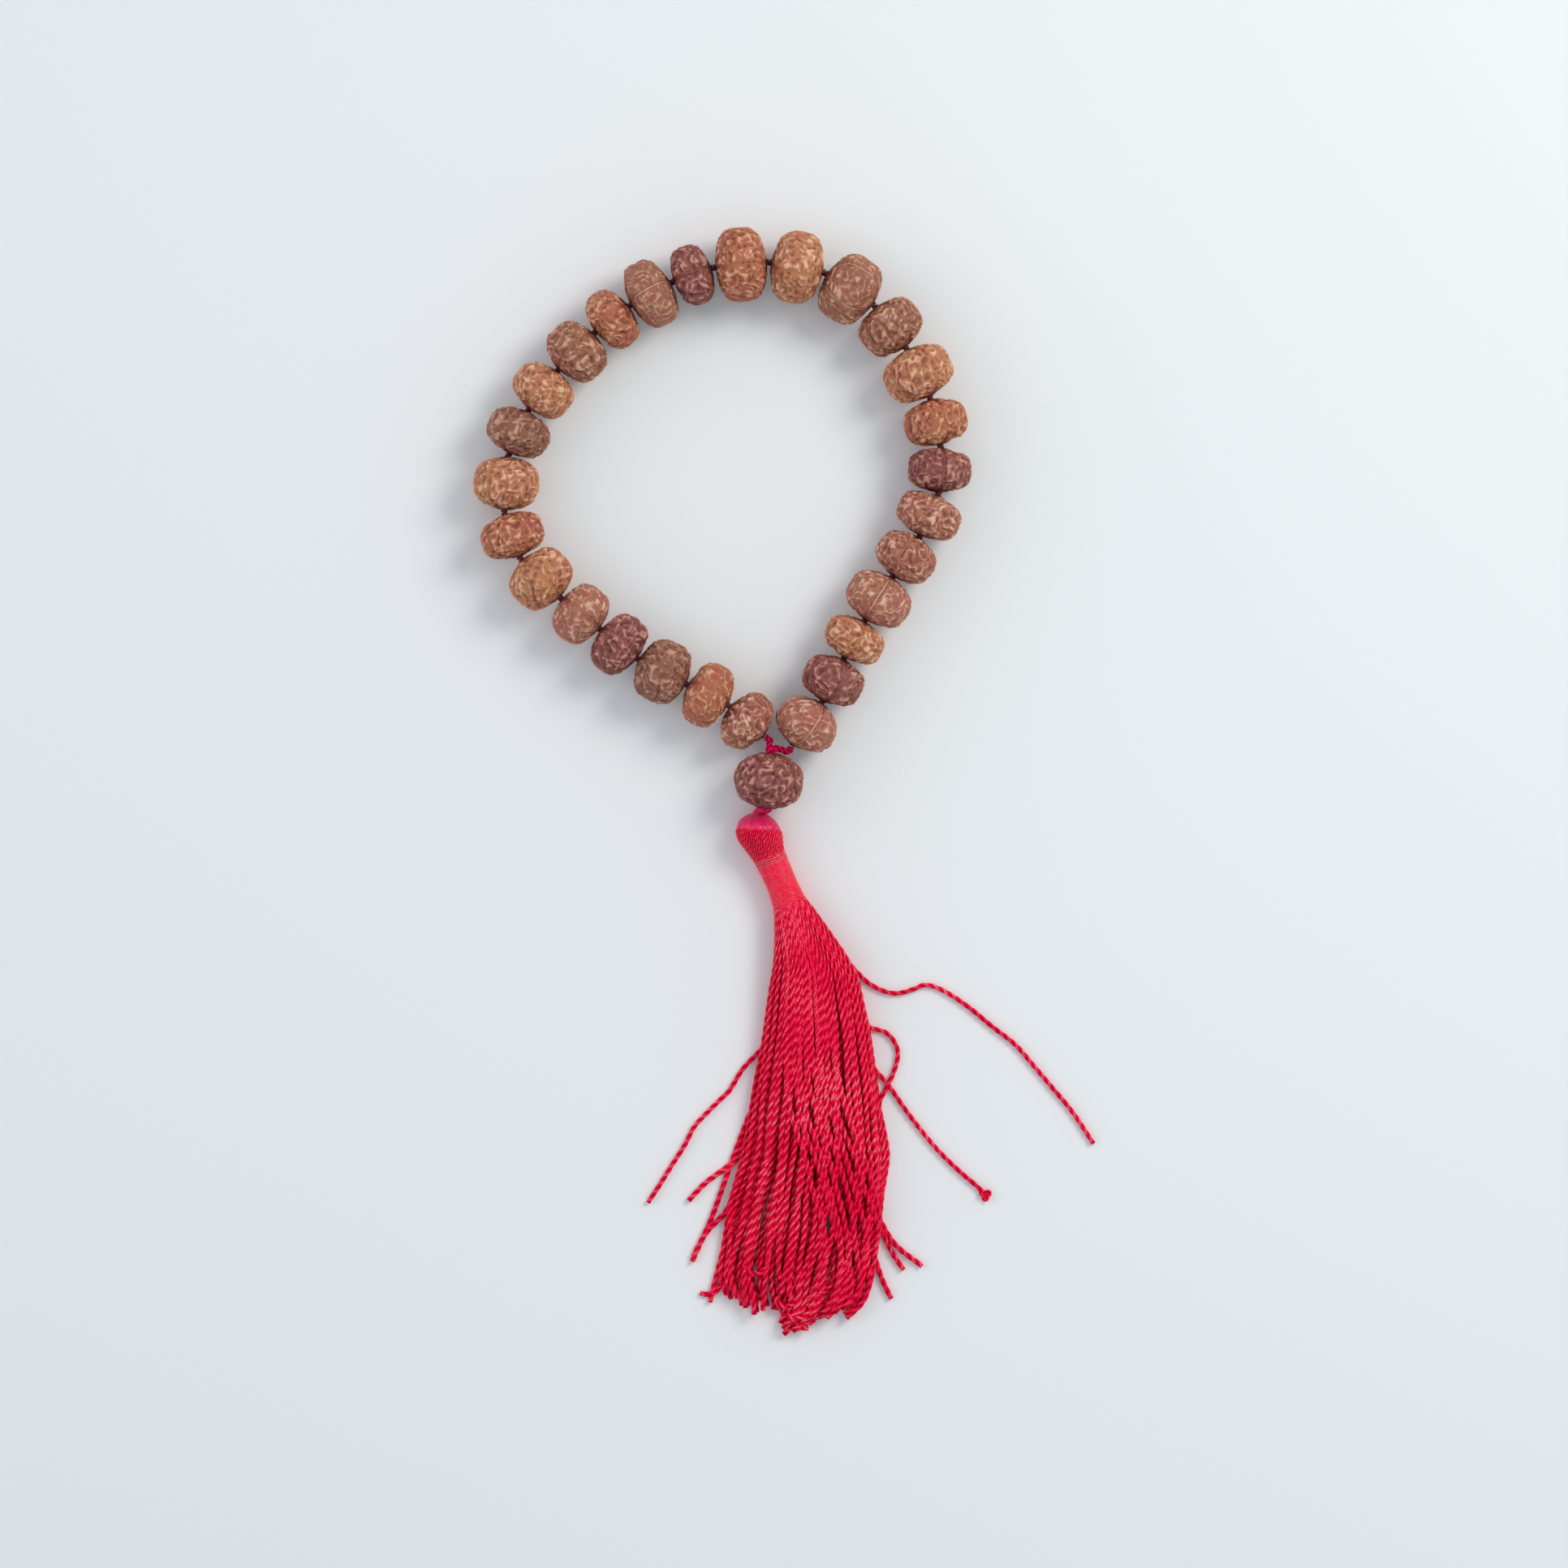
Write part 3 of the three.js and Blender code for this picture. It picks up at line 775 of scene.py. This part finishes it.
def strand_route(u, v, reach, sweep=0.0, lift=0.0, curl=0.0):
    """A strand from inside the binding to its tip, which wanders a little and may sweep to one side."""
    phase = [random.uniform(0, 2 * math.pi) for _ in range(3)]
    drift = random.gauss(0, DRIFT)
    points = [across_fringe(0.8 * u, v, -0.12)]
    for i in range(ROUTE_STEPS + 1):
        share = reach * i / ROUTE_STEPS
        loose = eased(share, 0.05, 0.9)
        at_u = u + (drift + sweep * eased(share, 0.05, 0.85)) * loose
        long_wave = LONG_WAVE * loose * math.sin(phase[0] + share * 13)
        short_wave = SHORT_WAVE * loose * math.sin(phase[1] + share * 29)
        at_u += long_wave + short_wave
        at_u = max(-1.0, min(1.0, at_u))
        place = across_fringe(at_u, v, share, lift * loose)
        place.z += RISE_AND_FALL * loose * math.sin(phase[2] + share * 19) * (0.3 + v)
        points.append(place)
    if curl:
        heading = points[-1] - points[-2]
        heading.z = 0
        heading.normalize()
        for _ in range(CURL_STEPS):
            heading.rotate(Matrix.Rotation(curl / CURL_STEPS, 3, "Z"))
            points.append(points[-1] + heading * 0.6 * MM)
    return smooth_route(points, THREAD_STEP)


def strand_girth(t):
    """A strand is half as thick at the binding as where it hangs loose."""
    return 0.5 + 0.5 * eased(t, 0.02, 0.34)


def tip_share(u):
    """How far down the fringe a strand's tip lies: those a little right of the middle hang lowest."""
    lowest = 0.2
    return 0.94 + 0.055 * max(0.0, 1 - ((u - lowest) / 0.45) ** 2) - abs(random.gauss(0, 0.05))


strand_sets = []
for layer, count in enumerate(LAYERS):
    routes = []
    for i in range(count):
        u = -1 + 2 * (i + 0.5 + 0.25 * (layer % 2)) / count + random.uniform(-0.015, 0.015)
        v = layer / (len(LAYERS) - 1)
        curl = random.choice((-1, 1)) * random.uniform(1.0, 3.4) if random.random() < CURLED_SHARE else 0.0
        reach = tip_share(u) - (0.06 if curl else 0.0)
        routes.append(strand_route(max(-0.98, min(0.98, u)), v, reach, curl=curl))
    strand_sets.append(routes)
sweeping = [
    strand_route(-0.62 + 0.12 * i, 1.0, random.uniform(0.88, 0.95), sweep=1.05, lift=0.35 * MM)
    for i in range(SWEEPING_STRANDS)
]
strand_sets.append(sweeping)
for number, routes in enumerate(strand_sets):
    strands = twisted(
        f"fringe_strands_{number + 1}", routes, strand_section, STRAND_PITCH, silk, strand_girth
    )
    if number == 0:
        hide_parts("tassel_skirt")
    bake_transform(strands)


# ---- loose strands ----
# Two-ply strands that have come out of the fringe and lie on the table beside it. Each starts under
# the fringe's edge. One is tied off in a small overhand knot, and the others end bare.
LAID_FROM = Vector((8.9 * MM, 0.3 * MM, 0))  # the places of the loose strands are measured from here


def lying(points, height):
    """A loose strand's line on the table, from places in millimetres."""
    return [Vector((x * MM, y * MM, height)) + LAID_FROM for x, y in points]


STRAY_LONG = [
    (9.6, -26.3), (11.2, -28.0), (12.6, -29.2), (14.6, -30.2), (16.6, -30.5), (18.9, -29.9),
    (20.6, -29.3), (23.0, -30.0), (26.6, -32.3), (30.4, -35.4), (33.7, -38.0), (36.5, -41.2),
    (39.3, -44.5), (42.1, -47.9), (45.1, -52.4),
]
STRAY_LOOP = [
    (10.7, -34.6), (12.9, -35.6), (14.8, -36.2), (16.1, -37.6), (16.6, -39.4), (16.1, -41.7),
    (15.1, -44.0), (13.9, -46.6), (14.4, -49.6), (15.1, -53.8), (14.7, -57.3), (14.0, -60.6),
    (12.6, -63.4),
]
STRAY_BESIDE = [
    (8.4, -35.2), (9.6, -37.4), (12.0, -40.2), (13.3, -41.7), (15.3, -44.0), (18.3, -48.3),
    (22.0, -52.9), (25.3, -56.2), (28.1, -58.6), (29.0, -59.5),
]
STRAY_LEFT = [
    (-1.2, -34.6), (-3.0, -38.2), (-5.9, -41.4), (-7.9, -44.6), (-9.3, -46.0), (-11.4, -48.1),
    (-13.1, -50.0), (-14.5, -52.7), (-16.3, -55.5), (-17.9, -58.1), (-19.8, -61.0),
]
STRAY_LIFT = 0.5 * MM  # height of a loose strand's middle above the table
KNOT_SIZE = 0.26 * MM
KNOT_STEPS = 40
KNOT_GIRTH = 0.62  # the strand is squeezed thin where it is knotted
STRAY_GIRTH = 0.88  # a loose strand is pulled a little thinner than those in the fringe


def tied_knot(name, end, heading):
    """A small overhand knot, drawn tight at the end of a loose strand."""
    middle = end + heading * 2 * KNOT_SIZE
    points = []
    for i in range(KNOT_STEPS + 1):
        t = 2 * math.pi * i / KNOT_STEPS
        across, along = math.sin(t) + 2 * math.sin(2 * t), math.cos(t) - 2 * math.cos(2 * t)
        points.append(middle + Vector((across, along, -math.sin(3 * t))) * KNOT_SIZE)
    knot = twisted(name, [points], strand_section, STRAND_PITCH, silk, lambda t: KNOT_GIRTH)
    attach(knot, "tassel_fringe")
    return knot


STRAYS = (
    ("stray_strand_long", STRAY_LONG, "bare"),
    ("stray_strand_loop", STRAY_LOOP, "bare"),
    ("stray_strand_beside", STRAY_BESIDE, "knot"),
    ("stray_strand_left", STRAY_LEFT, "bare"),
)
for name, places, far_end in STRAYS:
    route = smooth_route(lying(places, STRAY_LIFT), THREAD_STEP)
    stray = twisted(name, [route], strand_section, STRAND_PITCH, silk, lambda t: STRAY_GIRTH)
    knots = []
    if far_end == "knot":
        knots = [tied_knot(name + "_knot", route[-1], (route[-1] - route[-2]).normalized())]
    if name == "stray_strand_long":
        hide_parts("stray_strand")
    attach(stray, body_of["stray_strand"])

# Strands too short to be cords of their own, which part from the fringe's edges near its tips.
SHORT_STRANDS = (
    ((-4.0, -47.0), (-6.6, -54.1), (-8.6, -56.0), (-11.4, -58.1), (-13.9, -60.7)),
    ((-5.0, -48.0), (-7.6, -55.0), (-10.7, -63.6), (-13.2, -68.8)),
    ((-5.2, -53.0), (-7.9, -61.3), (-11.4, -65.5), (-13.4, -69.6)),
    ((11.5, -58.0), (15.5, -66.2), (20.1, -70.3)),
    ((12.2, -60.0), (15.3, -67.4), (17.4, -70.8)),
    ((11.5, -63.0), (13.9, -71.1), (15.6, -75.0)),
    ((-6.0, -58.0), (-8.8, -67.6), (-10.8, -75.5)),
    ((-6.0, -58.0), (-7.1, -67.6), (-6.1, -76.0)),
)
short_routes = [smooth_route(lying(places, STRAY_LIFT), THREAD_STEP) for places in SHORT_STRANDS]
short_strands = twisted("short_loose_strands", short_routes, strand_section, STRAND_PITCH, silk)
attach(short_strands, "tassel_fringe")
